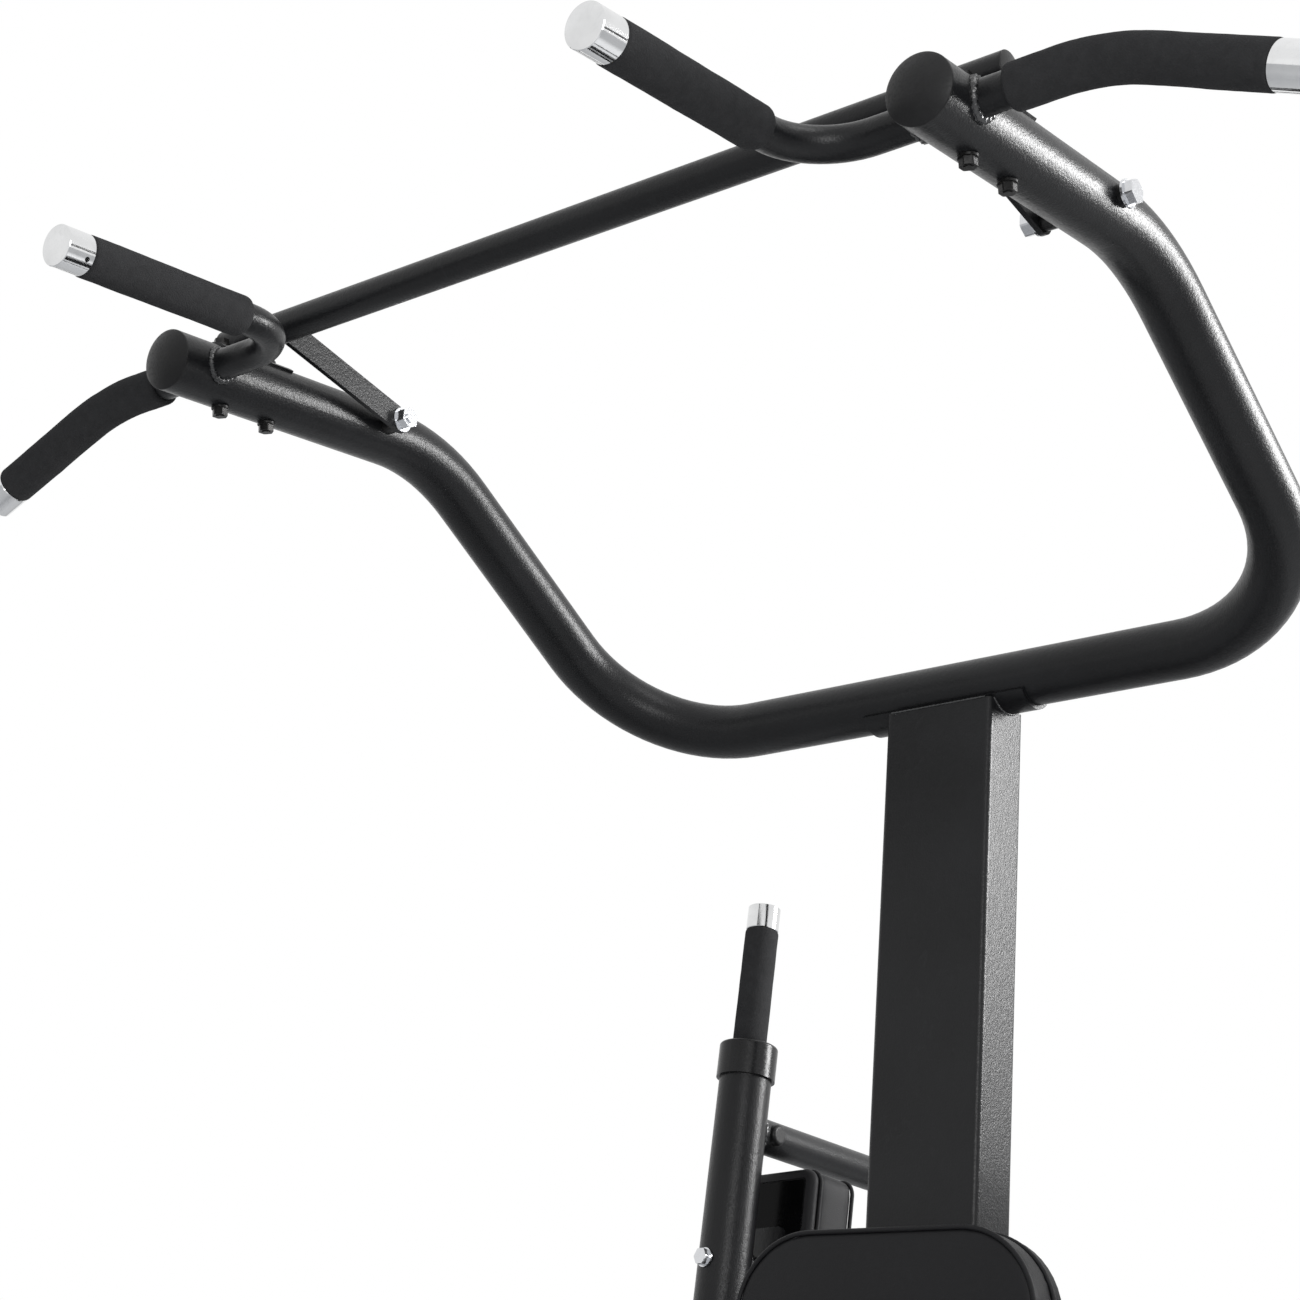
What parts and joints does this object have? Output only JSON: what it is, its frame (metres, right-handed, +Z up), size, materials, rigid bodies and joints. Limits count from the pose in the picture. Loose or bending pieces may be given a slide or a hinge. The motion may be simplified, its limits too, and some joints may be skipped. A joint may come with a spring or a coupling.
{
  "type": "ab crunch machine",
  "caption": "Seated crunch machine: a padded lever hinged behind a column, plate horns, foot rollers, and a chin-up frame with a crossbar and angled grips on top.",
  "frame": {"origin": "middle of the machine's footprint, on the floor", "axes": "+Z up, the front (the chin-up grips and foot rollers) towards -Y, +X to the right of someone facing the front"},
  "size_m": [1.3812, 1.6769, 2.1446],
  "materials": {
    "frame_paint": "black satin powder coat with a fine grain",
    "black_steel": "black oxide fasteners",
    "chrome": "bright plated",
    "zinc": "bright zinc plate",
    "vinyl": "black upholstery vinyl, semi-gloss",
    "foam": "black closed-cell foam, matte",
    "black_plastic": "black moulded plastic",
    "gloss_plastic": "black glossy moulded plastic",
    "rubber": "black moulded rubber",
    "plywood": "plywood board",
    "bearing_bronze": "sintered bronze"
  },
  "bodies": {
    "frame": {"anchor_plates": "frame_paint", "back_pad": "vinyl", "back_pad_board": "plywood", "back_pad_bolts": "zinc", "back_pad_brackets": "frame_paint", "base_beam": "frame_paint", "chin_frame": "frame_paint", "chin_saddle": "frame_paint", "column_gussets": "frame_paint", "cross_feet": "frame_paint", "crossbar": "frame_paint", "crossbar_bolts": "black_steel", "crossbar_seats": "frame_paint", "crossbar_struts": "frame_paint", "foot_plate": "frame_paint", "grip_caps": "chrome", "inner_grip_foams": "foam", "inner_grip_rods": "frame_paint", "link_beam": "frame_paint", "outer_grip_foams": "foam", "outer_grip_rods": "frame_paint", "pivot_bearings": "bearing_bronze", "pivot_housing": "frame_paint", "pivot_plates": "frame_paint", "rear_post": "frame_paint", "roller_bar": "zinc", "roller_post": "frame_paint", "round_end_plugs": "black_plastic", "rubber_feet": "rubber", "seat_sleeve": "frame_paint", "square_end_plugs": "black_plastic", "stop_bumper": "rubber", "strut_bolts": "zinc", "strut_sleeves": "black_steel", "upright": "frame_paint"},
    "lever": {"pivot_shaft": "chrome", "shaft_end_caps": "zinc", "lever_posts": "frame_paint", "lever_collars": "gloss_plastic", "lever_handles": "chrome", "lever_foams": "foam", "lever_caps": "chrome", "rear_loops": "frame_paint", "rear_cross_tube": "frame_paint", "weight_horns": "chrome", "lever_plugs": "black_plastic", "arm_pads": "vinyl", "arm_pad_boards": "black_plastic", "arm_pad_brackets": "frame_paint", "lever_bolts": "zinc"},
    "seat": {"seat_post": "chrome", "seat_plate": "frame_paint", "seat_board": "plywood", "seat_pad": "vinyl", "seat_bolts": "zinc"},
    "seat_knob": {"seat_knob": "black_plastic"},
    "left_roller": {"left_roller_core": "black_plastic", "left_roller_foam": "foam"},
    "right_roller": {"right_roller_core": "black_plastic", "right_roller_foam": "foam"}
  },
  "joints": [
    {"name": "crunch_lever", "type": "hinge", "parent": "frame", "child": "lever", "pos_m": [0, 0.22298, 0.85], "axis": [1, 0, 0], "range_deg": [0, 60]},
    {"name": "seat_height", "type": "slide", "parent": "frame", "child": "seat", "axis": [0, 0, 1], "range_m": [-0.06, 0.06]},
    {"name": "seat_clamp", "type": "hinge", "parent": "frame", "child": "seat_knob", "pos_m": [0, -0.18152, 0.35], "axis": [0, 1, 0], "continuous": true},
    {"name": "left_roller_spin", "type": "hinge", "parent": "frame", "child": "left_roller", "pos_m": [0, -0.71952, 0.282], "axis": [1, 0, 0], "continuous": true},
    {"name": "right_roller_spin", "type": "hinge", "parent": "frame", "child": "right_roller", "pos_m": [0, -0.71952, 0.282], "axis": [1, 0, 0], "continuous": true}
  ]
}
